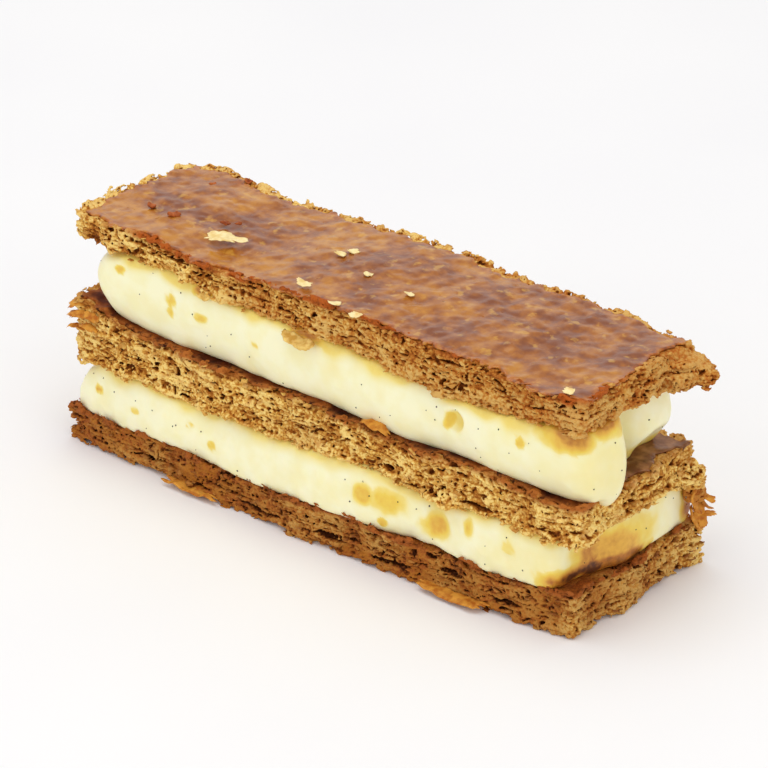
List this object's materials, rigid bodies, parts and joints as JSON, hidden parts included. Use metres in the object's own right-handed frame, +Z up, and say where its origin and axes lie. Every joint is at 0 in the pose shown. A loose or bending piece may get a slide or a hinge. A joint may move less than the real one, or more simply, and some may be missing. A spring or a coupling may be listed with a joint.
{
  "type": "mille feuille slice",
  "caption": "Oblong slice of layered puff pastry with piped vanilla cream between the baked slabs and a glossy caramelised top.",
  "frame": {"origin": "middle of the slice's footprint, on the flat underside that it stands on", "axes": "+Z up through the layers, +X along the slice, -Y towards the long cut side that is shown"},
  "size_m": [0.1298, 0.0416, 0.0496],
  "materials": {
    "pastry": "dry, porous, golden-brown baked puff pastry crumb with a darker caramelised skin",
    "glazed_pastry": "baked puff pastry under a glossy brown caramelised sugar glaze",
    "cream": "smooth, softly shining pale yellow vanilla cream"
  },
  "bodies": {
    "root": {"pastry_bottom": "pastry", "cream_lower": "cream", "pastry_middle": "pastry", "cream_upper": "cream", "pastry_top": "glazed_pastry"}
  },
  "joints": []
}
